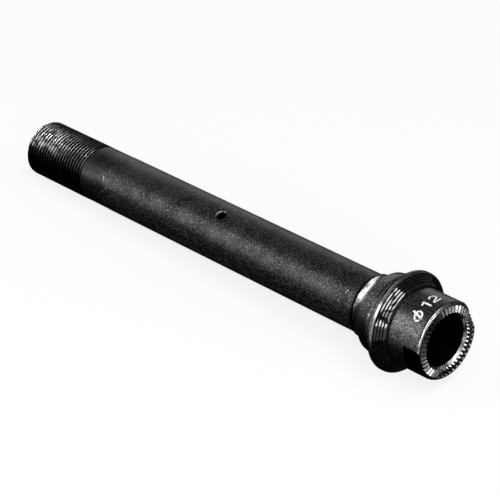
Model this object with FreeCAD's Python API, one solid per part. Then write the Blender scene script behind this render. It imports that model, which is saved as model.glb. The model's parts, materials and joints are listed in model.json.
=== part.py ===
import FreeCAD
import Part
import math
import os

# Hollow hub axle as it lies on the ground at Z = 0, on the cone's flange and the end of its thread. The
# lock nut's serrated face is at the -Y end. Each piece is made with its axis along Y and then laid down.
# A station is a distance along the axis from the nut's serrated face. All sizes are in millimetres.

# Axle tube
overall_length = 137.0
tube_d = 14.0
tube_wall = 0.95
thread_length = 20.8
thread_start_chamfer = 0.5
relief_width = 0.8
relief_depth = 0.3
land_length = 7.8
land_drop = 0.05
bore_edge_chamfer = 0.25
hole_d = 2.5
hole_station = 68.8
hole_angle = 114.2
hole_rim_chamfer = 0.2

# Lock nut
nut_d = 18.0
nut_length = 10.0
nut_lip = 5.2
nut_face_chamfer = 0.8
lead_in_depth = 1.1
lead_in_width = 0.8
flats_across = 16.0
flats_length = 4.6
flats_angle = 24.0
tooth_count = 44
tooth_depth = 0.42
tooth_gap_share = 0.86

# Bearing cone, as lengths along it from the nut towards the thread
seat_length = 1.6
flange_length = 1.05
flange_height = 1.78
flange_chamfer = 0.4
flank_length = 1.75
shoulder_length = 0.6
shoulder_height = 0.82
taper_length = 3.1
race_edge = 0.08
race_length = 3.4
race_rise = 1.73
race_hollow = 0.25
tip_length = 0.7
tip_wall = 0.45

# Dust seal, as ribs that step down towards the nut
seal_height = 1.75
rib_count = 4
rib_pitch = 0.57
rib_height = 0.3
lip_thickness = 0.15

# Fits
thread_clearance = 0.05
end_clearance = 0.1
seal_slip = 0.15

# Seam of the turned pieces, in degrees, so that a facet of their mesh meets the ground and not a corner
seam_turn = 5.0

# Worked-out sizes
tube_r = tube_d / 2
bore_r = tube_r - tube_wall
nut_r = nut_d / 2
socket_r = tube_r + thread_clearance
tip_r = tube_r + tip_wall
seat_r = nut_r + seal_slip
shoulder_r = seat_r + shoulder_height
flange_r = shoulder_r + flange_height
rib_drop = (seal_height - lip_thickness) / rib_count

# Lie of the axle: the flange's back edge and the thread's last crest both touch the ground
flange_end = nut_length + seat_length + flange_length
crest_end = overall_length - thread_start_chamfer
lie = math.atan((flange_r - tube_r) / (crest_end - flange_end))
nut_reach = (nut_r - nut_face_chamfer) * math.sin(lie)
thread_reach = overall_length * math.cos(lie) + (tube_r - thread_start_chamfer) * math.sin(lie)
face_y = (nut_reach - thread_reach) / 2
face_z = flange_end * math.sin(lie) + flange_r * math.cos(lie)

ACROSS = FreeCAD.Vector(1, 0, 0)
AXIS = FreeCAD.Vector(0, 1, 0)
CENTRE = FreeCAD.Vector(0, 0, 0)


def point(radius, station):
    """A point of a turned profile, with the axis along Y."""
    return FreeCAD.Vector(radius, station, 0)


def line(start, end):
    """A straight edge of a turned profile."""
    return Part.LineSegment(start, end).toShape()


def edges_through(corners):
    """Straight edges through the given (radius, station) corners."""
    points = [point(radius, station) for radius, station in corners]
    return [line(start, end) for start, end in zip(points, points[1:])]


def turned(edges):
    """A solid turned from a closed profile about the axis, with its seam off the ground."""
    face = Part.Face(Part.Wire(edges))
    solid = face.revolve(CENTRE, AXIS, 360)
    solid.rotate(CENTRE, AXIS, seam_turn)
    return solid


def around(angle, radius, station):
    """A point at an angle about the axis, from +X towards +Z."""
    turn = math.radians(angle)
    return FreeCAD.Vector(radius * math.cos(turn), station, radius * math.sin(turn))


def export(shape, node):
    """Lays a piece down in its place on the ground and writes it."""
    shape.rotate(CENTRE, ACROSS, -math.degrees(lie))
    shape.translate(FreeCAD.Vector(0, face_y, face_z))
    shape.exportStep(os.path.join("parts", node + ".step"))


def drilled_hole():
    """The small hole through one wall of the tube, with its rim broken."""
    direction = around(hole_angle, 1, 0)
    start = around(hole_angle, bore_r / 2, hole_station)
    drill = Part.makeCylinder(hole_d / 2, tube_d, start, direction)
    rim_start = around(hole_angle, tube_r - hole_rim_chamfer, hole_station)
    rim_depth = 2 * hole_rim_chamfer
    rim = Part.makeCone(hole_d / 2, hole_d / 2 + rim_depth, rim_depth, rim_start, direction)
    return drill.fuse(rim)


def axle_tube():
    """Tube with a relief and a turned land behind the thread, and a drilled hole in its barrel."""
    start = nut_lip + end_clearance
    relief_end = overall_length - thread_length
    relief_start = relief_end - relief_width
    land_start = relief_start - land_length
    land_r = tube_r - land_drop
    relief_r = tube_r - relief_depth
    corners = [
        (bore_r, start),
        (tube_r - bore_edge_chamfer, start),
        (tube_r, start + bore_edge_chamfer),
        (tube_r, land_start - land_drop),
        (land_r, land_start),
        (land_r, relief_start),
        (relief_r, relief_start + relief_depth),
        (relief_r, relief_end - relief_depth),
        (tube_r, relief_end),
        (tube_r, overall_length - thread_start_chamfer),
        (tube_r - thread_start_chamfer, overall_length),
        (bore_r + bore_edge_chamfer, overall_length),
        (bore_r, overall_length - bore_edge_chamfer),
        (bore_r, start),
    ]
    return turned(edges_through(corners)).cut(drilled_hole())


def flat_cut(angle):
    """The block that mills one wrench flat."""
    block = Part.makeBox(nut_d, flats_length, 2 * nut_d)
    block.translate(FreeCAD.Vector(flats_across / 2, 0, -nut_d))
    block.rotate(CENTRE, AXIS, -angle)
    return block


def tooth_gap(angle):
    """One radial V gap. Its edges all run to the centre of the nut's face, so it widens outwards."""
    inner = bore_r
    outer = nut_d
    slope = tooth_depth / nut_r
    spread = math.tan(math.pi / tooth_count) * tooth_gap_share
    sections = []
    for radius in (inner, outer):
        half_width = radius * spread
        root = FreeCAD.Vector(radius, radius * slope, 0)
        left = FreeCAD.Vector(radius, 0, -half_width)
        right = FreeCAD.Vector(radius, 0, half_width)
        above_left = FreeCAD.Vector(radius, -radius * slope, -half_width)
        above_right = FreeCAD.Vector(radius, -radius * slope, half_width)
        sections.append([root, left, above_left, above_right, right])
    near, far = sections
    outlines = [near, far]
    for i in range(len(near)):
        following = (i + 1) % len(near)
        outlines.append([near[i], near[following], far[following], far[i]])
    faces = [Part.Face(Part.makePolygon(outline + outline[:1])) for outline in outlines]
    gap = Part.Solid(Part.Shell(faces))
    gap.rotate(CENTRE, AXIS, -angle)
    return gap


def lock_nut():
    """Round nut with two flats, a socket for the tube, a lead-in to the bore and a serrated face."""
    corners = [
        (bore_r + lead_in_width, 0),
        (nut_r - nut_face_chamfer, 0),
        (nut_r, nut_face_chamfer),
        (nut_r, nut_length),
        (socket_r, nut_length),
        (socket_r, nut_lip),
        (bore_r, nut_lip),
        (bore_r, lead_in_depth),
        (bore_r + lead_in_width, 0),
    ]
    body = turned(edges_through(corners))
    flats = [flat_cut(flats_angle + turn) for turn in (0, 180)]
    gaps = [tooth_gap(360 * i / tooth_count) for i in range(tooth_count)]
    return body.cut(flats).cut(gaps)


def bearing_cone():
    """Cone with a seal seat, a flange, a tapered body and a hollow ground race for the balls."""
    seat_end = nut_length + seat_length
    flank_end = flange_end + flank_length
    shoulder_end = flank_end + shoulder_length
    taper_end = shoulder_end + taper_length
    race_end = taper_end + race_length
    cone_end = race_end + tip_length
    race_top = tip_r + race_rise
    chord = math.hypot(race_length, race_rise)
    middle_r = tip_r + race_rise / 2 - race_hollow * race_length / chord
    middle = race_end - race_length / 2 - race_hollow * race_rise / chord
    body = edges_through([
        (socket_r, nut_length),
        (seat_r, nut_length),
        (seat_r, seat_end),
        (flange_r - flange_chamfer, seat_end),
        (flange_r, seat_end + flange_chamfer),
        (flange_r, flange_end),
        (shoulder_r, flank_end),
        (shoulder_r, shoulder_end),
        (race_top + race_edge, taper_end),
        (race_top, taper_end),
    ])
    race = Part.Arc(point(race_top, taper_end), point(middle_r, middle), point(tip_r, race_end))
    tip = edges_through([
        (tip_r, race_end),
        (tip_r, cone_end),
        (socket_r, cone_end),
        (socket_r, nut_length),
    ])
    return turned(body + [race.toShape()] + tip)


def dust_seal():
    """Rubber seal against the cone's flange, with sharp ribs that step down to a lip over the nut."""
    back = nut_length + seat_length
    front = back
    root_r = seat_r + seal_height
    corners = [(seat_r, back), (root_r, back)]
    for rib in range(rib_count):
        next_r = root_r - rib_drop
        next_front = front - rib_pitch
        crest_r = (root_r + next_r) / 2 + rib_height
        corners += [(crest_r, (front + next_front) / 2), (next_r, next_front)]
        root_r = next_r
        front = next_front
    corners += [(seat_r, front), (seat_r, back)]
    return turned(edges_through(corners))


def main():
    """Writes one file for each piece."""
    os.makedirs("parts", exist_ok=True)
    export(axle_tube(), "axle_tube")
    export(bearing_cone(), "bearing_cone")
    export(dust_seal(), "dust_seal")
    export(lock_nut(), "lock_nut")


main()
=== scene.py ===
"""Looks of a hollow hub axle that lies on a pale floor, with its cone, dust seal and lock nut."""
import json
import logging
import math
from dataclasses import dataclass
from enum import Enum, IntEnum
from typing import Callable, Iterable, Sequence

import bmesh
import bpy
from mathutils import Matrix, Vector


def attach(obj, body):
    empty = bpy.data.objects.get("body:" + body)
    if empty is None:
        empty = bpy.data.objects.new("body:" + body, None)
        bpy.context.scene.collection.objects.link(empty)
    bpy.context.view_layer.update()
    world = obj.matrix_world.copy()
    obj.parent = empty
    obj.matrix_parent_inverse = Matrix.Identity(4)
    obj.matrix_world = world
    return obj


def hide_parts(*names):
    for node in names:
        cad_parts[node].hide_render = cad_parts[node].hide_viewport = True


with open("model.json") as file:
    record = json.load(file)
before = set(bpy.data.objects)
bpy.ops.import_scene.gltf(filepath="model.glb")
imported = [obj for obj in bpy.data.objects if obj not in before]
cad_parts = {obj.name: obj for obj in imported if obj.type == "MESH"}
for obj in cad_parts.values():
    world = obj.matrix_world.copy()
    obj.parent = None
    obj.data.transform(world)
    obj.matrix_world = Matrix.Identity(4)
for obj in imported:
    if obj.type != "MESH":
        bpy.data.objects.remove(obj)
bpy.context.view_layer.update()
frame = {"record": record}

LOG = logging.getLogger("hub_axle")
MM = 0.001
OWN_FRAME = "own_frame"
# An edge shades sharp past the first angle, and break_edges rounds it past the second
SHARP_DEGREES = 12.0
RING_DEGREES = 14.0
# Points that lie closer than this, in millimetres, become one
MERGE_GAP = 1e-4
# Noise seldom leaves this range, so it is stretched from there
NOISE_LOW = 0.35
NOISE_HIGH = 0.65
Profile = Sequence[tuple[float, float]]


class Slot(Enum):
    """Material slots of the record."""

    TUBE = "blackened_tube"
    CONE = "hardened_cone"
    SEAL = "seal_rubber"
    NUT = "blackened_nut"


class BarrelFinish(IntEnum):
    """Places of the barrel's finishes among its materials."""

    BLASTED = 0
    LAND = 1
    BORE = 2
    HOLE_RIM = 3


class ThreadFinish(IntEnum):
    """Places of the threaded end's finishes among its materials."""

    THREAD = 0
    BORE_MOUTH = 1
    END_FACE = 2


class ConeFinish(IntEnum):
    """Places of the cone's finishes among its materials."""

    BODY = 0
    RACE = 1
    FLANGE_EDGE = 2
    SHADED_TIP = 3


class NutFinish(IntEnum):
    """Places of the nut's finishes among its materials."""

    BODY = 0
    BORE = 1
    WORN_AND_LIT_FACE = 2
    SHADED_FLATS = 3


def linear(hex_colour: str) -> tuple[float, float, float, float]:
    """Turns an sRGB hex value into a linear colour.

    Args:
        hex_colour: Six hex digits after a hash sign.

    Returns:
        Red, green, blue and a full alpha.
    """
    parts = [int(hex_colour[i:i + 2], 16) / 255 for i in (1, 3, 5)]
    red, green, blue = [c / 12.92 if c <= 0.04045 else ((c + 0.055) / 1.055) ** 2.4 for c in parts]
    return red, green, blue, 1.0


@dataclass(frozen=True)
class AxleLie:
    """Where the axle's own frame lies: its axis is +Y there, and stations start at the nut's face."""

    mount: str = "threaded_end"
    mount_station: float = 126.35

    def matrix(self) -> Matrix:
        """Works out the step from the own frame in millimetres to the ground in metres.

        Returns:
            The matrix that lays a mesh down.
        """
        mount = next(m for m in frame["record"]["mounts"] if m["name"] == self.mount)
        axis = Vector(mount["axis"]).normalized()
        across = Vector((1.0, 0.0, 0.0))
        upward = across.cross(axis)
        origin = Vector(mount["pos_m"]) - axis * self.mount_station * MM
        turn = Matrix((across, axis, upward)).transposed().to_4x4()
        return Matrix.Translation(origin) @ turn @ Matrix.Scale(MM, 4)


def radius_of(co: Vector) -> float:
    """Distance of a point from the axle's axis, in millimetres."""
    return math.hypot(co.x, co.z)


def angle_of(co: Vector) -> float:
    """Angle of a point about the axle's axis, from +X towards +Z, in degrees from 0 to 360."""
    return math.degrees(math.atan2(co.z, co.x)) % 360.0


def set_radius(vert: bmesh.types.BMVert, radius: float) -> None:
    """Moves a vertex straight in or out.

    Args:
        vert: The vertex.
        radius: Radius it moves to.
    """
    scale = radius / radius_of(vert.co)
    vert.co.x *= scale
    vert.co.z *= scale


def around(angle: float, radius: float, station: float) -> Vector:
    """A point at an angle in degrees, a radius and a station."""
    turn = math.radians(angle)
    return Vector((radius * math.cos(turn), station, radius * math.sin(turn)))


def verts_in(geom: Iterable) -> list[bmesh.types.BMVert]:
    """Vertices among the results of an operator."""
    return [item for item in geom if isinstance(item, bmesh.types.BMVert)]


def edges_in(geom: Iterable) -> list[bmesh.types.BMEdge]:
    """Edges among the results of an operator."""
    return [item for item in geom if isinstance(item, bmesh.types.BMEdge)]


def turned(profile: Profile, steps: int) -> bmesh.types.BMesh:
    """Turns a closed profile about the axis.

    Args:
        profile: Radius and station of each corner, in order round the section.
        steps: Facets round the axis.

    Returns:
        A closed ring, with its faces outwards.
    """
    bm = bmesh.new()
    corners = [bm.verts.new((radius, station, 0.0)) for radius, station in profile]
    edges = [bm.edges.new((a, b)) for a, b in zip(corners, corners[1:] + corners[:1])]
    bmesh.ops.spin(bm, geom=corners + edges, cent=(0, 0, 0), axis=(0, 1, 0), angle=2 * math.pi, steps=steps,
                   use_merge=True)
    bmesh.ops.remove_doubles(bm, verts=bm.verts, dist=MERGE_GAP)
    bmesh.ops.recalc_face_normals(bm, faces=bm.faces)
    return bm


def break_edges(bm: bmesh.types.BMesh, width: float, chosen: Callable[[Vector], bool]) -> None:
    """Rounds the sharp rings of a turned piece.

    Args:
        bm: The piece.
        width: Width of the rounding in millimetres.
        chosen: Tells from an edge's middle whether it is rounded.
    """
    edges = []
    for edge in bm.edges:
        middle = (edge.verts[0].co + edge.verts[1].co) / 2
        if edge.is_manifold and edge.calc_face_angle() > math.radians(RING_DEGREES) and chosen(middle):
            edges.append(edge)
    bmesh.ops.bevel(bm, geom=edges, offset=width, affect="EDGES", segments=2, profile=0.5, material=-1,
                    clamp_overlap=True)


def only_finish(co: Vector) -> int:
    """Picks the one finish of a piece that has no other."""
    return 0


def lay_down(bm: bmesh.types.BMesh, name: str, finishes: Sequence[bpy.types.Material],
             choose: Callable[[Vector], int]) -> bpy.types.Object:
    """Makes a finished piece of a mesh in the axle's own frame.

    Args:
        bm: The mesh, in millimetres. It is freed.
        name: Name of the piece.
        finishes: Materials of the piece.
        choose: Picks a face's material from the middle of the face.

    Returns:
        The piece, at the origin, with its place in its mesh.
    """
    own = bm.verts.layers.float_vector.new(OWN_FRAME)
    for vert in bm.verts:
        vert[own] = vert.co
    for face in bm.faces:
        face.smooth = True
        face.material_index = int(choose(face.calc_center_median()))
    for edge in bm.edges:
        edge.smooth = not (edge.is_manifold and edge.calc_face_angle() > math.radians(SHARP_DEGREES))
    bm.transform(AxleLie().matrix())
    mesh = bpy.data.meshes.new(name)
    bm.to_mesh(mesh)
    bm.free()
    for finish in finishes:
        mesh.materials.append(finish)
    piece = bpy.data.objects.new(name, mesh)
    bpy.context.scene.collection.objects.link(piece)
    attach(piece, "root")
    return piece


class Recipe:
    """A material under way: its node tree, its shader and the piece's own coordinates."""

    def __init__(self, name: str) -> None:
        """Starts a material with a Principled shader.

        Args:
            name: Name of the real finish.
        """
        self.material = bpy.data.materials.new(name)
        self.material.use_nodes = True
        self.tree = self.material.node_tree
        self.shader = self.tree.nodes["Principled BSDF"]
        self.place = self.add("Attribute", {"attribute_name": OWN_FRAME}).outputs["Vector"]

    def add(self, kind: str, settings: dict | None = None, links: dict | None = None) -> bpy.types.Node:
        """Adds a node.

        Args:
            kind: Node type, without the start that all of them share.
            settings: Values by property name, or by input name or number. Under "stops", the places and hex
                colours of a ramp.
            links: Output sockets by input name or number.

        Returns:
            The node.
        """
        node = self.tree.nodes.new("ShaderNode" + kind)
        for key, value in (settings or {}).items():
            if key == "stops":
                elements = node.color_ramp.elements
                while len(elements) < len(value):
                    elements.new(0.5)
                for element, (place, colour) in zip(elements, value):
                    element.position = place
                    element.color = linear(colour)
            elif isinstance(key, str) and hasattr(node, key):
                setattr(node, key, value)
            else:
                node.inputs[key].default_value = value
        for key, socket in (links or {}).items():
            self.tree.links.new(socket, node.inputs[key])
        return node

    def set(self, **values: object) -> None:
        """Sets constants on the shader, with _ for a space in the name."""
        for key, value in values.items():
            self.shader.inputs[key.replace("_", " ")].default_value = value

    def feed(self, **sockets: bpy.types.NodeSocket) -> None:
        """Links patterns to inputs of the shader, with _ for a space in the name."""
        for key, socket in sockets.items():
            self.tree.links.new(socket, self.shader.inputs[key.replace("_", " ")])


def patch_scale(size: float) -> float:
    """Scale of a noise whose patches are about a size in millimetres across."""
    return 0.5 / size


@dataclass(frozen=True)
class BlastedBlack:
    """Black finish over blasted metal: a dull black skin whose grit glitters where light falls on it."""

    name: str
    dark: str = "#040404"
    glint: str = "#78787a"
    glint_share: float = 0.18
    roughness: float = 0.36
    grit: float = 0.17
    cloud: float = 2.5
    depth: float = 0.05
    sheen: tuple[float, float] = (0.2, 0.5)

    def material(self) -> bpy.types.Material:
        """Makes the material.

        Returns:
            The finish, ready to dress a piece.
        """
        recipe = Recipe(self.name)
        glint_start = 1 - self.glint_share
        # The real grit is finer than a pixel, so its grains are drawn coarser to show
        grains = recipe.add("TexVoronoi", {"Scale": 1 / self.grit}, {"Vector": recipe.place})
        facet = recipe.add("SeparateColor", links={"Color": grains.outputs["Color"]}).outputs["Red"]
        tone = recipe.add("ValToRGB", {"stops": [(glint_start, self.dark), (1.0, self.glint)]}, {"Fac": facet})
        bare = recipe.add("MapRange", {"From Min": glint_start, "From Max": 1.0}, {"Value": facet})
        cloud = recipe.add("TexNoise", {"Scale": patch_scale(self.cloud), "Detail": 4.0},
                           {"Vector": recipe.place})
        sheen = recipe.add("MapRange", {"From Min": NOISE_LOW, "From Max": NOISE_HIGH,
                                        "To Min": self.sheen[0], "To Max": self.sheen[1]},
                           {"Value": cloud.outputs["Fac"]})
        relief = recipe.add("TexNoise", {"Scale": patch_scale(self.grit), "Detail": 2.0},
                            {"Vector": recipe.place})
        bump = recipe.add("Bump", {"Distance": self.depth * MM}, {"Height": relief.outputs["Fac"]})
        recipe.feed(Base_Color=tone.outputs["Color"], Metallic=bare.outputs["Result"],
                    Specular_IOR_Level=sheen.outputs["Result"], Normal=bump.outputs["Normal"])
        recipe.set(Roughness=self.roughness)
        return recipe.material


@dataclass(frozen=True)
class BlackenedSteel:
    """Chemically blackened steel: dark and mottled, with a metal's sheen and bare specks and scratches."""

    name: str
    dark: str = "#1a1a1b"
    light: str = "#4e4e50"
    bare: str = "#9a9a9a"
    bare_share: float = 0.04
    patch: float = 0.24
    roughness: float = 0.36
    smoothest: float = 0.06
    dullest: float = 0.1
    scratch_turn: tuple[float, float, float] = (0.4, 0.2, 0.6)
    scratch_stretch: tuple[float, float, float] = (4.0, 0.25, 4.0)

    def material(self) -> bpy.types.Material:
        """Makes the material.

        Returns:
            The finish, ready to dress a piece.
        """
        recipe = Recipe(self.name)
        patches = recipe.add("TexNoise", {"Scale": patch_scale(self.patch), "Detail": 5.0, "Roughness": 0.6},
                             {"Vector": recipe.place}).outputs["Fac"]
        skin = recipe.add("ValToRGB", {"stops": [(0.4, self.dark), (0.64, self.light)]}, {"Fac": patches})
        # Specks and scratches are drawn a pixel wide to show
        grains = recipe.add("TexVoronoi", {"Scale": 1 / self.patch}, {"Vector": recipe.place})
        speck = recipe.add("SeparateColor", links={"Color": grains.outputs["Color"]})
        speck = recipe.add("MapRange", {"From Min": 1 - self.bare_share, "From Max": 1.0},
                           {"Value": speck.outputs["Red"]})
        drawn_out = recipe.add("Mapping", {"Rotation": self.scratch_turn, "Scale": self.scratch_stretch},
                               {"Vector": recipe.place})
        scratch = recipe.add("TexNoise", {"Scale": 1.0, "Detail": 1.0}, {"Vector": drawn_out.outputs["Vector"]})
        scratch = recipe.add("MapRange", {"From Min": 0.7 - self.bare_share, "From Max": 0.78},
                             {"Value": scratch.outputs["Fac"]})
        rubbed = recipe.add("Math", {"operation": "MAXIMUM"},
                            {0: speck.outputs["Result"], 1: scratch.outputs["Result"]})
        tone = recipe.add("Mix", {"data_type": "RGBA", "B": linear(self.bare)},
                          {"Factor": rubbed.outputs["Value"], "A": skin.outputs["Color"]})
        dullness = recipe.add("MapRange", {"From Min": NOISE_LOW, "From Max": NOISE_HIGH,
                                           "To Min": self.roughness - self.smoothest,
                                           "To Max": self.roughness + self.dullest}, {"Value": patches})
        recipe.feed(Base_Color=tone.outputs["Result"], Roughness=dullness.outputs["Result"])
        recipe.set(Metallic=1.0)
        return recipe.material


@dataclass(frozen=True)
class GroundSteel:
    """Ground and polished steel: mirrors its surroundings, with dull smudges."""

    name: str
    dull: str = "#6a6a6a"
    bright: str = "#e2e2e0"
    roughness: float = 0.14
    smudge: float = 0.7
    dullest: float = 0.16

    def material(self) -> bpy.types.Material:
        """Makes the material.

        Returns:
            The finish, ready to dress a piece.
        """
        recipe = Recipe(self.name)
        smudge = recipe.add("TexNoise", {"Scale": patch_scale(self.smudge), "Detail": 3.0, "Roughness": 0.6},
                            {"Vector": recipe.place}).outputs["Fac"]
        tone = recipe.add("ValToRGB", {"stops": [(0.34, self.dull), (0.5, self.bright)]}, {"Fac": smudge})
        dullness = recipe.add("MapRange", {"From Min": 0.3, "From Max": 0.6,
                                           "To Min": self.roughness + self.dullest, "To Max": self.roughness},
                              {"Value": smudge})
        recipe.feed(Base_Color=tone.outputs["Color"], Roughness=dullness.outputs["Result"])
        recipe.set(Metallic=1.0)
        return recipe.material


@dataclass(frozen=True)
class RubbedThread:
    """Blackened thread: grey worn crests over black roots. Painted shade darkens the roots between the ridges, and a
    painted highlight lightens the crests on the side the light falls on. The last turns are rubbed bright on that
    side.

    A reach is a distance from the axis towards that side, where an effect begins and where it is full.
    """

    name: str
    root: str = "#060606"
    crest: str = "#747476"
    bare: str = "#f4f4f4"
    roughness: float = 0.26
    root_radius: float = 6.5
    crest_radius: float = 6.9
    patch: float = 0.5
    patch_wear: float = 0.45
    # Over this reach the crests go from the shaded side's share of their painted highlight to all of it
    worn_and_lit_reach: tuple[float, float] = (5.6, 6.8)
    shaded_side_share: float = 0.3
    rub_start: float = 121.0
    rub_end: float = 132.0
    rub_and_light_angle: float = 119.0
    rub_reach: tuple[float, float] = (5.5, 6.6)
    blotch: float = 0.9

    def material(self) -> bpy.types.Material:
        """Makes the material.

        Returns:
            The finish, ready to dress a piece.
        """
        recipe = Recipe(self.name)
        across = recipe.add("VectorMath", {"operation": "MULTIPLY", 1: (1.0, 0.0, 1.0)}, {0: recipe.place})
        radius = recipe.add("VectorMath", {"operation": "LENGTH"}, {0: across.outputs["Vector"]})
        # Height on the ridge: roots stay black, as real wear and as painted shade between the ridges
        height = recipe.add("MapRange", {"From Min": self.root_radius, "From Max": self.crest_radius},
                            {"Value": radius.outputs["Value"]})
        patches = recipe.add("TexNoise", {"Scale": patch_scale(self.patch), "Detail": 4.0},
                             {"Vector": recipe.place})
        wear = recipe.add("MapRange", {"From Min": 0.3, "From Max": 0.6, "To Min": self.patch_wear},
                          {"Value": patches.outputs["Fac"]})
        worn = recipe.add("Math", {"operation": "MULTIPLY"},
                          {0: height.outputs["Result"], 1: wear.outputs["Result"]})
        facing = recipe.add("VectorMath", {"operation": "DOT_PRODUCT", 1: around(self.rub_and_light_angle, 1.0, 0.0)},
                            {0: recipe.place}).outputs["Value"]
        # Painted highlight: crests facing the light are lighter, and those turned away are darker as painted shade
        side = recipe.add("MapRange", {"From Min": self.worn_and_lit_reach[0], "From Max": self.worn_and_lit_reach[1],
                                       "To Min": self.shaded_side_share}, {"Value": facing})
        worn = recipe.add("Math", {"operation": "MULTIPLY"},
                          {0: worn.outputs["Value"], 1: side.outputs["Result"]})
        skin = recipe.add("ValToRGB", {"stops": [(0.1, self.root), (0.9, self.crest)]},
                          {"Fac": worn.outputs["Value"]})
        place = recipe.add("SeparateXYZ", links={"Vector": recipe.place})
        outward = recipe.add("MapRange", {"From Min": self.rub_start, "From Max": self.rub_end},
                             {"Value": place.outputs["Y"]})
        rubbed = recipe.add("MapRange", {"From Min": self.rub_reach[0], "From Max": self.rub_reach[1]},
                            {"Value": facing})
        where = recipe.add("Math", {"operation": "MULTIPLY"},
                           {0: outward.outputs["Result"], 1: rubbed.outputs["Result"]})
        where = recipe.add("Math", {"operation": "MULTIPLY"},
                           {0: where.outputs["Value"], 1: height.outputs["Result"]})
        blotch = recipe.add("TexNoise", {"Scale": patch_scale(self.blotch), "Detail": 2.0},
                            {"Vector": recipe.place})
        blotch = recipe.add("MapRange", {"From Min": 0.38, "From Max": 0.58}, {"Value": blotch.outputs["Fac"]})
        rub = recipe.add("Math", {"operation": "MULTIPLY"},
                         {0: where.outputs["Value"], 1: blotch.outputs["Result"]})
        tone = recipe.add("Mix", {"data_type": "RGBA", "B": linear(self.bare)},
                          {"Factor": rub.outputs["Value"], "A": skin.outputs["Color"]})
        recipe.feed(Base_Color=tone.outputs["Result"])
        recipe.set(Metallic=1.0, Roughness=self.roughness)
        return recipe.material


@dataclass(frozen=True)
class SealRubber:
    """Moulded nitrile rubber: deep black, with long wet-looking glints on its slightly wavy ribs."""

    name: str
    clean: str = "#060606"
    dusty: str = "#101010"
    dust: float = 0.5
    gloss: tuple[float, float] = (0.06, 0.12)
    wave: float = 1.6
    wave_depth: float = 0.22
    ior: float = 1.52

    def material(self) -> bpy.types.Material:
        """Makes the material.

        Returns:
            The finish, ready to dress a piece.
        """
        recipe = Recipe(self.name)
        dust = recipe.add("TexNoise", {"Scale": patch_scale(self.dust), "Detail": 3.0},
                          {"Vector": recipe.place}).outputs["Fac"]
        tone = recipe.add("ValToRGB", {"stops": [(0.45, self.clean), (0.7, self.dusty)]}, {"Fac": dust})
        gloss = recipe.add("MapRange", {"From Min": NOISE_LOW, "From Max": NOISE_HIGH,
                                        "To Min": self.gloss[0], "To Max": self.gloss[1]}, {"Value": dust})
        wave = recipe.add("TexNoise", {"Scale": patch_scale(self.wave), "Detail": 1.0},
                          {"Vector": recipe.place})
        bump = recipe.add("Bump", {"Distance": self.wave_depth * MM}, {"Height": wave.outputs["Fac"]})
        recipe.feed(Base_Color=tone.outputs["Color"], Roughness=gloss.outputs["Result"],
                    Normal=bump.outputs["Normal"])
        recipe.set(IOR=self.ior)
        return recipe.material


@dataclass(frozen=True)
class MarkingPaint:
    """Marking ink: flat white with worn spots."""

    name: str
    worn: str = "#8a8a8a"
    white: str = "#f2f2f2"
    spot: float = 0.25
    roughness: float = 0.6

    def material(self) -> bpy.types.Material:
        """Makes the material.

        Returns:
            The finish, ready to dress a piece.
        """
        recipe = Recipe(self.name)
        wear = recipe.add("TexNoise", {"Scale": patch_scale(self.spot), "Detail": 2.0}, {"Vector": recipe.place})
        tone = recipe.add("ValToRGB", {"stops": [(0.36, self.worn), (0.46, self.white)]},
                          {"Fac": wear.outputs["Fac"]})
        recipe.feed(Base_Color=tone.outputs["Color"])
        recipe.set(Roughness=self.roughness)
        return recipe.material


@dataclass(frozen=True)
class Stroke:
    """A thin stroke on a round wall, as angles in degrees and stations."""

    points: tuple[tuple[float, float], ...]
    width: float = 0.42
    closed: bool = False
    bends: int = 2
    step: float = 0.25

    def path(self, arc: float) -> list[Vector]:
        """Lays the stroke out flat, with its bends rounded by cutting their corners at the quarters.

        Args:
            arc: Millimetres round the wall for one degree.

        Returns:
            Points of the path in millimetres.
        """
        line = [Vector((angle * arc, station)) for angle, station in self.points]
        for _ in range(self.bends):
            pairs = list(zip(line, line[1:] + line[:1])) if self.closed else list(zip(line, line[1:]))
            cut = [p for a, b in pairs for p in (a.lerp(b, 0.25), a.lerp(b, 0.75))]
            line = cut if self.closed else [line[0], *cut[1:-1], line[-1]]
        if self.closed:
            line += line[:2]
        dense = [line[0]]
        for a, b in zip(line, line[1:]):
            count = math.ceil((b - a).length / self.step)
            dense += [a.lerp(b, (i + 1) / count) for i in range(count)]
        return dense

    def draw(self, bm: bmesh.types.BMesh, radius: float) -> None:
        """Draws the stroke by pulling its width along its path.

        Args:
            bm: The mesh it is added to.
            radius: Radius it lies at.
        """
        arc = math.radians(1) * radius
        path = self.path(arc)
        edge = None
        for i, centre in enumerate(path):
            along = path[min(i + 1, len(path) - 1)] - path[max(i - 1, 0)]
            side = Vector((-along.y, along.x)).normalized() * self.width / 2
            if edge is None:
                ends = [bm.verts.new(), bm.verts.new()]
                edge = bm.edges.new(ends)
            else:
                moved = bmesh.ops.extrude_edge_only(bm, edges=[edge])["geom"]
                edge = edges_in(moved)[0]
                ends = verts_in(moved)
            for vert, spot in zip(ends, (centre + side, centre - side)):
                vert.co = around(spot.x / arc, radius, spot.y)


# Strokes of bright bare steel: the first paints a highlight along the land's step, and the others are nicks
NICKS_AND_STEP_HIGHLIGHT = (
    Stroke(((146.0, 107.72), (150.6, 107.55), (156.0, 107.34)), 0.32, bends=0),
    Stroke(((123.0, 116.76), (127.0, 116.68)), 0.4, bends=0),
    Stroke(((138.0, 25.05), (140.0, 24.9)), 0.24, bends=0),
    Stroke(((142.4, 25.3), (144.0, 25.2)), 0.2, bends=0),
)


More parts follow.
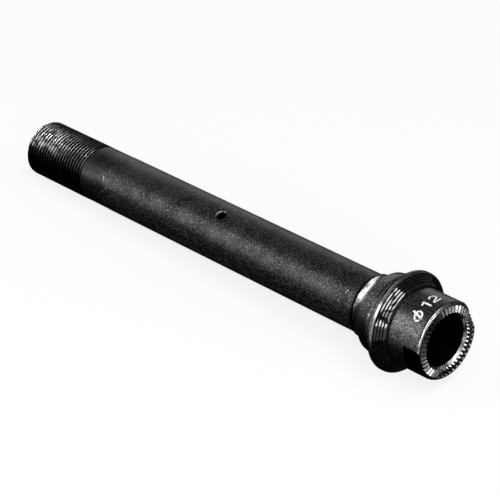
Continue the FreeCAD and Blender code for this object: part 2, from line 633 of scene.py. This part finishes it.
@dataclass
class AxleTube:
    """The hollow tube: blasted barrel with a drilled hole, a smooth land and a screw thread.

    The barrel ends on the floor of the thread's relief, where the threaded end starts as a sleeve of its own.
    """

    start: float = 5.3
    end: float = 137.0
    outer: float = 7.0
    bore: float = 6.05
    land_start: float = 107.6
    land_step: float = 0.05
    relief_start: float = 115.4
    relief_slope: float = 0.3
    relief_radius: float = 6.7
    sleeve_start: float = 115.9
    pitch: float = 1.0
    thread_depth: float = 0.61
    root_land: float = 0.15
    crest_start: float = 0.46
    chamfer: float = 0.5
    rim: float = 0.25
    hole_radius: float = 1.25
    hole_station: float = 68.8
    hole_angle: float = 114.2
    hole_rim: float = 0.2
    hole_margin: float = 0.6
    hole_rows: int = 18
    columns: int = 256
    thread_steps: int = 72
    # The phase keeps the ridge's corners off the columns where the ends are cut, so no slivers come there
    thread_phase: float = 1.533
    # The spin drifts a little, so the turns meet within the first gap, and the closed ends within the second
    turn_gap: float = 4e-3
    end_gap: float = 1e-3
    cut_gap: float = 1e-5
    near: float = 0.02
    nick_lift: float = 0.015

    @property
    def wall_middle(self) -> float:
        """Radius halfway through the wall."""
        return (self.outer + self.bore) / 2

    @property
    def hole_side(self) -> Vector:
        """Direction from the axis to the hole."""
        return around(self.hole_angle, 1.0, 0.0)

    def hole_offset(self, co: Vector) -> Vector:
        """Where a point lies from the hole's axis, along the tube and round it."""
        turn = math.radians(angle_of(co) - self.hole_angle)
        return Vector((co.y - self.hole_station, math.sin(turn) * radius_of(co)))

    def barrel(self) -> bmesh.types.BMesh:
        """Makes the barrel, the land and the relief as one closed ring, with the hole through its wall.

        Returns:
            The mesh in the axle's own frame.
        """
        reach = self.hole_radius + self.hole_margin
        near_hole = [self.hole_station - reach + 2 * reach * i / self.hole_rows for i in range(self.hole_rows + 1)]
        land_radius = self.outer - self.land_step
        profile = [
            (self.bore, self.start),
            (self.outer - self.rim, self.start),
            (self.outer, self.start + self.rim),
            *[(self.outer, station) for station in near_hole],
            (self.outer, self.land_start - self.land_step),
            (land_radius, self.land_start),
            (land_radius, self.relief_start),
            (self.relief_radius, self.relief_start + self.relief_slope),
            (self.relief_radius, self.sleeve_start),
            (self.bore, self.sleeve_start),
            *[(self.bore, station) for station in reversed(near_hole)],
        ]
        bm = turned(profile, self.columns)
        self.drill(bm)
        return bm

    def to_hole(self, vert: bmesh.types.BMVert, size: float, skin: float) -> None:
        """Moves a vertex onto a ring about the hole's axis.

        Args:
            vert: The vertex.
            size: Radius of the ring.
            skin: Radius of the tube that the ring lies on.
        """
        offset = self.hole_offset(vert.co).normalized() * size
        turn = math.degrees(math.asin(offset.y / skin))
        vert.co = around(self.hole_angle + turn, skin, self.hole_station + offset.x)

    def drill(self, bm: bmesh.types.BMesh) -> None:
        """Opens the hole in both skins of the barrel and joins their rims.

        Args:
            bm: The barrel.
        """
        mouth = self.hole_radius + self.hole_rim
        doomed = [f for f in bm.faces if f.calc_center_median().dot(self.hole_side) > 0
                  and self.hole_offset(f.calc_center_median()).length < mouth]
        bmesh.ops.delete(bm, geom=doomed, context="FACES")
        rims = [e for e in bm.edges if e.is_boundary]
        for vert in {v for e in rims for v in e.verts}:
            if radius_of(vert.co) > self.wall_middle:
                self.to_hole(vert, mouth, self.outer)
            else:
                self.to_hole(vert, self.hole_radius, self.bore)
        outer_rim = [e for e in rims if radius_of(e.verts[0].co) > self.wall_middle]
        inner_rim = [e for e in rims if e not in outer_rim]
        throat = bmesh.ops.extrude_edge_only(bm, edges=outer_rim)["geom"]
        for vert in verts_in(throat):
            self.to_hole(vert, self.hole_radius, self.outer - self.hole_rim)
        bmesh.ops.bridge_loops(bm, edges=[e for e in edges_in(throat) if e.is_boundary] + inner_rim)
        bmesh.ops.recalc_face_normals(bm, faces=bm.faces)

    def thread_sleeve(self) -> bmesh.types.BMesh:
        """Cuts the right-hand thread by winding one ridge along the tube's end.

        Returns:
            The mesh in the axle's own frame.
        """
        bm = bmesh.new()
        root = self.outer - self.thread_depth
        ridge = [
            (root, 0.0),
            (root, self.root_land),
            (self.outer, self.crest_start),
            (self.outer, 1 - self.crest_start),
            (root, 1 - self.root_land),
            (root, 1.0),
        ]
        first = self.sleeve_start - self.thread_phase * self.pitch
        turns = math.ceil((self.end - first) / self.pitch) + 1
        steps = self.thread_steps
        verts = [bm.verts.new((radius, first + place * self.pitch, 0.0)) for radius, place in ridge]
        edges = [bm.edges.new((a, b)) for a, b in zip(verts, verts[1:])]
        bmesh.ops.spin(bm, geom=verts + edges, cent=(0, 0, 0), axis=(0, 1, 0), dvec=(0, self.pitch / steps, 0),
                       angle=-2 * math.pi * turns, steps=steps * turns, use_merge=False)
        bmesh.ops.remove_doubles(bm, verts=bm.verts, dist=self.turn_gap)
        for station, side in ((self.sleeve_start, -1), (self.end, 1)):
            bmesh.ops.bisect_plane(bm, geom=bm.verts[:] + bm.edges[:] + bm.faces[:], dist=self.cut_gap,
                                   plane_co=(0, station, 0), plane_no=(0, side, 0), clear_outer=True)
        for vert in bm.verts:
            lead = self.relief_radius + vert.co.y - self.sleeve_start
            tail = self.outer - self.chamfer + self.end - vert.co.y
            limit = min(lead, tail)
            if radius_of(vert.co) > limit:
                set_radius(vert, limit)
        self.close_sleeve(bm)
        return bm

    def close_sleeve(self, bm: bmesh.types.BMesh) -> None:
        """Closes the thread's two ends and lines it with the bore.

        Args:
            bm: The thread, open at both ends.
        """
        lining = [(self.bore + self.rim, self.end), (self.bore, self.end - self.rim), (self.bore, self.sleeve_start)]
        column = 360 / self.thread_steps
        for station, stages in ((self.sleeve_start, [(self.bore, self.sleeve_start)]), (self.end, lining)):
            ring = [e for e in bm.edges
                    if e.is_boundary and all(abs(v.co.y - station) < self.near / 2 for v in e.verts)]
            for radius, place in stages:
                moved = bmesh.ops.extrude_edge_only(bm, edges=ring)["geom"]
                for vert in verts_in(moved):
                    vert.co = around(round(angle_of(vert.co) / column) * column, radius, place)
                ring = [e for e in edges_in(moved) if e.is_boundary]
        bmesh.ops.remove_doubles(bm, verts=bm.verts, dist=self.end_gap)
        bmesh.ops.recalc_face_normals(bm, faces=bm.faces)

    def barrel_finish(self, co: Vector) -> BarrelFinish:
        """Picks the finish of a face of the barrel.

        Args:
            co: Middle of the face.

        Returns:
            Blasted outside, with a smooth land, a dark bore and a worn rim round the hole.
        """
        if radius_of(co) < self.wall_middle:
            return BarrelFinish.BORE
        if co.y > self.land_start:
            return BarrelFinish.LAND
        at_hole = self.hole_offset(co).length < self.hole_radius + self.hole_rim
        return BarrelFinish.HOLE_RIM if at_hole and co.dot(self.hole_side) > 0 else BarrelFinish.BLASTED

    def thread_finish(self, co: Vector) -> ThreadFinish:
        """Picks the finish of a face of the threaded end.

        Args:
            co: Middle of the face.

        Returns:
            Thread outside, with a turned end face and a dark bore.
        """
        radius = radius_of(co)
        if radius < self.bore + self.near:
            return ThreadFinish.BORE_MOUTH
        at_end = co.y > self.end - self.rim and radius < self.outer - self.chamfer - self.near
        return ThreadFinish.END_FACE if at_end else ThreadFinish.THREAD

    def build(self) -> list[bpy.types.Object]:
        """Builds and dresses the tube.

        Returns:
            The barrel, the threaded end, and the nicks with the painted highlight on the land's step.
        """
        barrel_finishes = [
            BlastedBlack("blasted_black_tube").material(),
            BlastedBlack("turned_black_land", glint_share=0.03, depth=0.02).material(),
            BlackenedSteel("blackened_bore", "#070707", "#0d0d0d", "#101010", roughness=0.5).material(),
            GroundSteel("worn_hole_rim", dull="#343434", bright="#7c7c7c", roughness=0.34).material(),
        ]
        thread_finishes = [
            RubbedThread("blackened_thread").material(),
            BlackenedSteel("blackened_bore_mouth", "#1c1c1c", "#2e2e2e", "#3a3a3a", roughness=0.5).material(),
            GroundSteel("turned_end_steel", dull="#4a4a4a", bright="#8e8e8e", roughness=0.3).material(),
        ]
        # Bare steel for the nicks and for the painted highlight on the land's step
        bare = GroundSteel("bare_nick_and_highlight_steel", dull="#8a8a8a", bright="#d8d8d8", roughness=0.4).material()
        barrel = lay_down(self.barrel(), "tube_barrel", barrel_finishes, self.barrel_finish)
        sleeve = lay_down(self.thread_sleeve(), "tube_thread", thread_finishes, self.thread_finish)
        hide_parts("axle_tube")
        marks = bmesh.new()
        for nick in NICKS_AND_STEP_HIGHLIGHT:
            nick.draw(marks, self.outer + self.nick_lift)
        return [barrel, sleeve, lay_down(marks, "tube_nicks_and_step_highlight", [bare], only_finish)]


@dataclass
class BearingCone:
    """The cone: seal seat, flange, tapered body and ground race, as radii, stations and pairs of them."""

    socket: float = 7.05
    front: float = 10.0
    seat: float = 9.15
    seat_end: float = 11.6
    flange: float = 11.75
    flange_chamfer: float = 0.4
    flange_end: float = 12.65
    shoulder: float = 9.97
    flank_end: float = 14.4
    shoulder_end: float = 15.0
    taper_end: tuple[float, float] = (9.26, 18.1)
    race_top: tuple[float, float] = (9.18, 18.1)
    race_foot: tuple[float, float] = (7.45, 21.5)
    race_hollow: float = 0.25
    race_facets: int = 12
    end: float = 22.2
    edge_break: float = 0.06
    broken_from: float = 7.2
    ground_from: float = 18.3
    tip_from: float = 21.48
    near: float = 0.05
    columns: int = 192

    def body(self) -> bmesh.types.BMesh:
        """Turns the cone and breaks its edges.

        Returns:
            The mesh in the axle's own frame.
        """
        profile = [
            (self.socket, self.front),
            (self.seat, self.front),
            (self.seat, self.seat_end),
            (self.flange - self.flange_chamfer, self.seat_end),
            (self.flange, self.seat_end + self.flange_chamfer),
            (self.flange, self.flange_end),
            (self.shoulder, self.flank_end),
            (self.shoulder, self.shoulder_end),
            self.taper_end,
            *self.race(),
            (self.race_foot[0], self.end),
            (self.socket, self.end),
        ]
        bm = turned(profile, self.columns)
        break_edges(bm, self.edge_break, lambda co: radius_of(co) > self.broken_from)
        return bm

    def race(self) -> list[tuple[float, float]]:
        """Corners along the hollow race, which sags below the straight line between its ends.

        Returns:
            Radius and station of each corner.
        """
        rise = self.race_foot[0] - self.race_top[0]
        run = self.race_foot[1] - self.race_top[1]
        length = math.hypot(rise, run)
        corners = []
        for i in range(self.race_facets + 1):
            part = i / self.race_facets
            sag = 4 * self.race_hollow * part * (1 - part)
            corners.append((self.race_top[0] + rise * part - sag * run / length,
                            self.race_top[1] + run * part + sag * rise / length))
        return corners

    def finish(self, co: Vector) -> ConeFinish:
        """Picks the finish of a face of the cone.

        Args:
            co: Middle of the face.

        Returns:
            Blackened, with a ground race, a worn front edge of the flange, and a tip painted black as the shade
            where the cone meets the tube.
        """
        radius = radius_of(co)
        # Painted shade: the tip is black for the shadow where the cone meets the tube
        if co.y > self.tip_from:
            return ConeFinish.SHADED_TIP
        if co.y > self.ground_from and radius > self.socket + self.near:
            return ConeFinish.RACE
        at_edge = (radius > self.flange - self.flange_chamfer - self.near
                   and co.y < self.seat_end + self.flange_chamfer + self.near)
        return ConeFinish.FLANGE_EDGE if at_edge else ConeFinish.BODY

    def build(self) -> list[bpy.types.Object]:
        """Builds and dresses the cone.

        Returns:
            The cone as the one piece.
        """
        finishes = [
            BlackenedSteel("blackened_cone_steel", "#161617", "#626264", "#c8c8c8", bare_share=0.05, patch=0.14,
                           roughness=0.28).material(),
            GroundSteel("ground_race_steel").material(),
            GroundSteel("worn_flange_edge", dull="#3a3a3a", bright="#7a7a7a", roughness=0.2).material(),
            # Painted shade: near black for the shadow at the cone's tip
            BlackenedSteel("painted_shade_cone_tip", "#050505", "#0c0c0c", "#101010").material(),
        ]
        cone = lay_down(self.body(), "cone_body", finishes, self.finish)
        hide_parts("bearing_cone")
        return [cone]


@dataclass
class DustSeal:
    """The rubber seal: ribs on a slope from the flange down to a lip over the nut, as radii and stations."""

    seat: float = 9.15
    back: float = 11.6
    back_inset: float = 0.3
    top: tuple[float, float] = (11.05, 11.42)
    lip: tuple[float, float] = (9.55, 9.32)
    lip_inset: float = 0.1
    ribs: int = 4
    rib_pitch: float = 0.66
    rib_land: float = 0.36
    groove_depth: float = 0.36
    edge_break: float = 0.03
    broken_above: float = 0.2
    columns: int = 192

    def build(self) -> list[bpy.types.Object]:
        """Builds and dresses the seal.

        Returns:
            The seal as the one piece.
        """
        slope = Vector((self.lip[0] - self.top[0], self.lip[1] - self.top[1])).normalized()
        inward = Vector((slope.y, -slope.x))
        profile = [(self.seat, self.back), (self.top[0] - self.back_inset, self.back)]
        for rib in range(self.ribs):
            first = Vector(self.top) + slope * rib * self.rib_pitch
            last = first + slope * self.rib_land
            groove = last + slope * (self.rib_pitch - self.rib_land) / 2 + inward * self.groove_depth
            profile += [tuple(first), tuple(last), tuple(groove)]
        profile[-1] = (self.lip[0] - self.lip_inset, self.lip[1])
        profile.append((self.seat, self.lip[1]))
        bm = turned(profile, self.columns)
        break_edges(bm, self.edge_break, lambda co: radius_of(co) > self.seat + self.broken_above)
        rubber = SealRubber("moulded_seal_rubber").material()
        seal = lay_down(bm, "seal_ribs", [rubber], only_finish)
        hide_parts("dust_seal")
        return [seal]


# A diameter sign as a ring and a bar, then the number 12
SIZE_MARK = (
    Stroke(((122.0, 4.14), (123.4, 3.23), (126.9, 2.80), (130.7, 2.81), (134.9, 2.86), (136.8, 3.17), (136.1, 3.83),
            (133.4, 4.31), (129.8, 4.52), (125.5, 4.50)), closed=True),
    Stroke(((125.8, 5.46), (127.5, 4.53), (129.3, 3.53), (131.8, 2.33)), bends=0),
    Stroke(((113.7, 4.66), (110.4, 4.80), (108.2, 5.08)), 0.36, bends=0),
    Stroke(((107.6, 5.16), (107.5, 3.89), (107.5, 2.72)), 0.46, bends=0),
    Stroke(((98.2, 4.68), (97.0, 5.10), (92.8, 5.26), (88.6, 5.06), (86.8, 4.36), (91.2, 3.81), (96.2, 3.55),
            (99.6, 3.22), (98.9, 2.96)), 0.36),
    Stroke(((99.6, 3.02), (93.2, 2.98), (85.2, 3.16)), 0.34, bends=0),
)


@dataclass
class LockNut:
    """The lock nut: round body with two flats, a serrated face, and the bore size marked on it.

    An arc is a pair of angles in degrees. The face is worn bright. On the first arc, where the light falls, the bare
    steel reaches over its edge as a painted highlight. On the second, which shows dark, it reaches least far out as
    painted shade.
    """

    outer: float = 9.0
    length: float = 10.0
    back_chamfer: float = 0.15
    bore: float = 6.05
    lip: float = 5.2
    socket: float = 7.05
    lead_in_depth: float = 1.1
    lead_in_bend: tuple[float, float] = (6.4, 0.46)
    flat_reach: float = 8.0
    flat_length: float = 4.6
    flat_step: float = 0.02
    flat_angle: float = 24.0
    teeth: int = 44
    tooth_depth: float = 0.5
    tooth_fade: float = 0.2
    gap_share: float = 0.86
    columns_per_tooth: int = 12
    face_inner: float = 6.7
    face_rows: tuple[float, float, float] = (7.2, 7.7, 8.15)
    face_outer: float = 8.25
    face_front: float = -0.08
    face_slope: float = 0.18
    face_depth: float = 0.9
    rim_facets: int = 10
    # Painted highlight on the lit arc and painted shade on the shaded arc, set by how far the bare steel reaches
    lit_arc: tuple[float, float] = (85.0, 185.0)
    lit_arc_reach: float = 8.95
    bright_depth: float = 0.95
    shaded_arc: tuple[float, float] = (262.0, 345.0)
    shaded_arc_reach: float = 7.3
    near: float = 0.05
    mark_lift: float = 0.012
    stroke_lift: float = 0.002

    def face_station(self, radius: float) -> float:
        """Station of the slightly coned face at a radius."""
        return self.face_front + (radius - self.face_inner) * self.face_slope

    def gap_part(self, co: Vector) -> float:
        """How far a point's angle lies into a gap of the serration.

        Args:
            co: The point.

        Returns:
            A share from 0 on a tooth to 1 at a root.
        """
        phase = angle_of(co) * self.teeth / 360.0
        offset = abs(phase - round(phase)) * 2
        return max(0.0, 1.0 - offset / self.gap_share)

    def across_flats(self, co: Vector) -> float:
        """Distance of a point from the axis, measured square to the nearer flat."""
        turn = (angle_of(co) - self.flat_angle + 90) % 180 - 90
        return radius_of(co) * math.cos(math.radians(turn))

    def body(self) -> bmesh.types.BMesh:
        """Turns the nut, mills its flats and cuts its teeth.

        Returns:
            The mesh in the axle's own frame.
        """
        edge = self.outer - self.face_outer
        edge_start = self.face_station(self.face_outer)
        turns = [math.radians(90 / self.rim_facets * i) for i in range(self.rim_facets + 1)]
        profile = [
            (self.bore, self.lead_in_depth),
            self.lead_in_bend,
            (self.face_inner, self.face_front),
            *[(radius, self.face_station(radius)) for radius in self.face_rows],
            *[(self.face_outer + edge * math.sin(turn), edge_start + edge * (1 - math.cos(turn))) for turn in turns],
            (self.outer, self.flat_length - self.flat_step),
            (self.outer, self.flat_length),
            (self.outer, self.length - self.back_chamfer),
            (self.outer - self.back_chamfer, self.length),
            (self.socket, self.length),
            (self.socket, self.lip),
            (self.bore, self.lip),
        ]
        bm = turned(profile, self.teeth * self.columns_per_tooth)
        for vert in bm.verts:
            across = self.across_flats(vert.co)
            if vert.co.y < self.flat_length - self.flat_step / 2 and across > self.flat_reach:
                set_radius(vert, radius_of(vert.co) * self.flat_reach / across)
        for vert in bm.verts:
            radius = radius_of(vert.co)
            if vert.co.y < self.face_depth and radius > self.face_inner - self.near:
                fade = (self.face_outer + self.tooth_fade / 2 - radius) / self.tooth_fade
                depth = self.gap_part(vert.co) * self.tooth_depth * min(1.0, max(0.0, fade))
                vert.co.y = max(vert.co.y, self.face_station(radius) + depth)
        bmesh.ops.remove_doubles(bm, verts=bm.verts, dist=MERGE_GAP)
        bmesh.ops.recalc_face_normals(bm, faces=bm.faces)
        return bm

    def mark(self) -> bmesh.types.BMesh:
        """Draws the bore size as a diameter sign and the number 12, wrapped on the nut.

        Returns:
            The mesh in the axle's own frame.
        """
        bm = bmesh.new()
        for layer, stroke in enumerate(SIZE_MARK):
            stroke.draw(bm, self.outer + self.mark_lift + self.stroke_lift * layer)
        return bm

    def worn_and_lit_reach(self, angle: float) -> float:
        """How far out the face is worn bright: further on the lit arc as a painted highlight, and less far on the
        shaded arc as painted shade.

        Args:
            angle: Angle about the axis.

        Returns:
            Radius at which the bright steel ends.
        """
        if self.lit_arc[0] < angle < self.lit_arc[1]:
            return self.lit_arc_reach
        return self.shaded_arc_reach if self.shaded_arc[0] < angle < self.shaded_arc[1] else self.face_outer

    def finish(self, co: Vector) -> NutFinish:
        """Picks the finish of a face of the nut.

        Args:
            co: Middle of the face.

        Returns:
            Blackened, with bare steel on the teeth and edges of the face, and a bore and flats darkened by painted
            shade.
        """
        radius = radius_of(co)
        # Painted shade: the bore and socket get a near-black finish for the shade inside them
        if co.y > self.lead_in_depth and radius < self.socket + self.near:
            return NutFinish.BORE
        # Painted shade: the flats get a darker finish for the dark they mirror
        if co.y < self.flat_length and self.across_flats(co) > self.flat_reach - self.flat_step / 2:
            return NutFinish.SHADED_FLATS
        # The bare steel's reach paints a highlight over the edge on the lit arc and shade on the shaded arc
        on_face = co.y < self.bright_depth and radius < self.worn_and_lit_reach(angle_of(co))
        in_gap = self.face_inner < radius < self.face_outer and self.gap_part(co) > 0.5
        return NutFinish.WORN_AND_LIT_FACE if on_face and not in_gap else NutFinish.BODY

    def build(self) -> list[bpy.types.Object]:
        """Builds and dresses the nut and its mark.

        Returns:
            The nut and the mark.
        """
        finishes = [
            BlackenedSteel("blackened_nut_steel", "#222223", "#7a7a7c", bare_share=0.02, patch=0.18,
                           roughness=0.32).material(),
            # Painted shade: the bore is near black for the shade inside it
            BlackenedSteel("painted_shade_nut_bore", "#070707", "#0d0d0d", "#101010", roughness=0.5).material(),
            GroundSteel("worn_face_steel", dull="#606060", bright="#969696", roughness=0.18).material(),
            # Painted shade: the flats are darker than the body, as the dark they mirror
            BlackenedSteel("painted_shade_flat_steel", "#0a0a0a", "#181818", "#303030", roughness=0.3).material(),
        ]
        ink = MarkingPaint("white_marking_ink").material()
        nut = lay_down(self.body(), "nut_body", finishes, self.finish)
        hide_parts("lock_nut")
        mark = lay_down(self.mark(), "bore_size_mark", [ink], only_finish)
        return [nut, mark]


@dataclass(frozen=True)
class Softbox:
    """A rectangular studio lamp that faces the axle, in metres from the origin, with its width along a line."""

    name: str
    direction: tuple[float, float, float]
    distance: float
    width: float
    height: float
    radiance: float
    along: tuple[float, float, float] = (0.0, 0.0, 0.0)

    def hang(self) -> None:
        """Adds the lamp. Its power follows from its area, so a resize keeps its brightness."""
        data = bpy.data.lights.new(self.name, "AREA")
        data.shape = "RECTANGLE"
        data.size = self.width
        data.size_y = self.height
        data.energy = self.radiance * math.pi * self.width * self.height
        lamp = bpy.data.objects.new(self.name, data)
        toward = Vector(self.direction).normalized()
        along = Vector(self.along)
        turn = toward.to_track_quat("Z", "Y").to_matrix()
        if along.length > 0:
            up = toward.cross(along).normalized()
            turn = Matrix((up.cross(toward), up, toward)).transposed()
        lamp.matrix_world = Matrix.Translation(toward * self.distance) @ turn.to_4x4()
        bpy.context.scene.collection.objects.link(lamp)


LAMPS = (
    Softbox("left_softbox", (-0.7, 0.62, 0.36), 1.0, 0.45, 0.68, 3.6),
    Softbox("far_card", (0.1, 0.97, 0.2), 1.1, 1.0, 0.42, 2.0),
    Softbox("overhead_strip", (-0.345, -0.54, 0.768), 1.049, 1.05, 0.1, 20.0, (-0.898, -0.166, -0.407)),
    Softbox("overhead_card", (-0.12, -0.34, 0.93), 1.0, 1.0, 0.14, 4.2, (0.96, 0.168, 0.238)),
    Softbox("front_card", (-0.55, -0.76, 0.32), 1.2, 0.5, 0.4, 8.0),
    Softbox("right_front_card", (0.17, -0.95, 0.24), 1.2, 0.3, 0.24, 16.0),
    Softbox("left_low_card", (-0.829, -0.554, 0.073), 1.038, 0.12, 0.14, 25.0),
    Softbox("back_card", (0.71, 0.64, 0.28), 1.2, 0.8, 0.55, 0.7),
)


@dataclass
class Studio:
    """The pale floor, the soft lamps, the grey surroundings and the camera."""

    floor_size: float = 6.0
    paper: str = "#f6f6f6"
    paper_glow: float = 0.82
    # A black sheet that only reflections see stands in for the shade under the axle
    shade_sheet_size: float = 1.4
    shade_sheet_left: float = 0.05
    shade_sheet_turn: float = 20.0
    shade_sheet_lift: float = 0.00002
    shade_sheet: str = "#050505"
    surroundings: float = 0.16
    camera_place: tuple[float, float, float] = (-318.532, -342.2188, 258.4316)
    camera_right: tuple[float, float, float] = (0.734855, -0.677726, 0.025993)
    camera_up: tuple[float, float, float] = (0.305188, 0.364654, 0.879709)
    sensor: float = 36.0
    lens: float = 164.28
    clip: tuple[float, float] = (0.01, 100.0)

    def build(self) -> None:
        """Sets up the whole studio."""
        self.floor()
        self.reflected_shade_sheet()
        for lamp in LAMPS:
            lamp.hang()
        self.world()
        self.camera()
        bpy.context.scene.view_settings.view_transform = "Standard"

    @staticmethod
    def sheet(name: str, size: float, place: Matrix, material: bpy.types.Material) -> bpy.types.Object:
        """Lays a flat square sheet.

        Args:
            name: Name of the sheet.
            size: Length of its sides.
            place: Where it lies.
            material: Its finish.

        Returns:
            The sheet, at the origin, with its place in its mesh.
        """
        bm = bmesh.new()
        bmesh.ops.create_grid(bm, x_segments=1, y_segments=1, size=size / 2)
        bm.transform(place)
        mesh = bpy.data.meshes.new(name)
        bm.to_mesh(mesh)
        bm.free()
        mesh.materials.append(material)
        sheet = bpy.data.objects.new(name, mesh)
        bpy.context.scene.collection.objects.link(sheet)
        return sheet

    def floor(self) -> None:
        """Lays a white paper floor under the axle, with a glow for the camera that leaves it its shadow."""
        recipe = Recipe("white_paper_floor")
        recipe.set(Base_Color=linear(self.paper), Roughness=0.9)
        light_path = recipe.add("LightPath")
        seen = light_path.outputs["Is Camera Ray"]
        for ray in ("Is Glossy Ray", "Is Transmission Ray"):
            seen = recipe.add("Math", {"operation": "MAXIMUM"},
                              {0: seen, 1: light_path.outputs[ray]}).outputs["Value"]
        glow = recipe.add("Emission", {"Strength": 1.0})
        share = recipe.add("Math", {"operation": "MULTIPLY", 1: self.paper_glow}, {0: seen})
        mix = recipe.add("MixShader", links={0: share.outputs["Value"], 1: recipe.shader.outputs["BSDF"],
                                             2: glow.outputs["Emission"]})
        recipe.tree.links.new(mix.outputs["Shader"], recipe.tree.nodes["Material Output"].inputs["Surface"])
        floor = self.sheet("floor", self.floor_size, Matrix.Identity(4), recipe.material)

    def reflected_shade_sheet(self) -> None:
        """Lays a black sheet that only reflections see: painted shade that keeps the undersides dark."""
        recipe = Recipe("black_reflected_shade")
        recipe.set(Base_Color=linear(self.shade_sheet), Roughness=1.0, Specular_IOR_Level=0.0)
        shift = Matrix.Translation((self.shade_sheet_size / 2 - self.shade_sheet_left, 0.0, self.shade_sheet_lift))
        place = Matrix.Rotation(math.radians(self.shade_sheet_turn), 4, "Z") @ shift
        shade_sheet = self.sheet("reflected_shade_sheet", self.shade_sheet_size, place, recipe.material)
        shade_sheet.visible_camera = False
        shade_sheet.visible_diffuse = False
        shade_sheet.visible_transmission = False
        shade_sheet.visible_shadow = False

    def world(self) -> None:
        """Makes the surroundings an even soft grey."""
        world = bpy.data.worlds.new("grey_studio")
        world.use_nodes = True
        background = world.node_tree.nodes["Background"]
        background.inputs["Color"].default_value = (1.0, 1.0, 1.0, 1.0)
        background.inputs["Strength"].default_value = self.surroundings
        bpy.context.scene.world = world

    def camera(self) -> None:
        """Puts the camera at the photo's angle."""
        right = Vector(self.camera_right).normalized()
        up = Vector(self.camera_up).normalized()
        data = bpy.data.cameras.new("photo_camera")
        data.sensor_width = self.sensor
        data.lens = self.lens
        data.clip_start, data.clip_end = self.clip
        camera = bpy.data.objects.new("photo_camera", data)
        turn = Matrix((right, up, right.cross(up))).transposed().to_4x4()
        camera.matrix_world = Matrix.Translation(Vector(self.camera_place) * MM) @ turn
        bpy.context.scene.collection.objects.link(camera)
        bpy.context.scene.camera = camera


def main() -> None:
    """Builds the axle piece by piece, then the studio, and notes the size of what shows."""
    logging.basicConfig(level=logging.INFO, format="%(name)s: %(message)s")
    for maker, slot in ((AxleTube(), Slot.TUBE), (BearingCone(), Slot.CONE), (DustSeal(), Slot.SEAL),
                        (LockNut(), Slot.NUT)):
        for piece in maker.build():
            LOG.info("%s: %d faces", piece.name, len(piece.data.polygons))
    Studio().build()


if __name__ == "__main__":
    main()
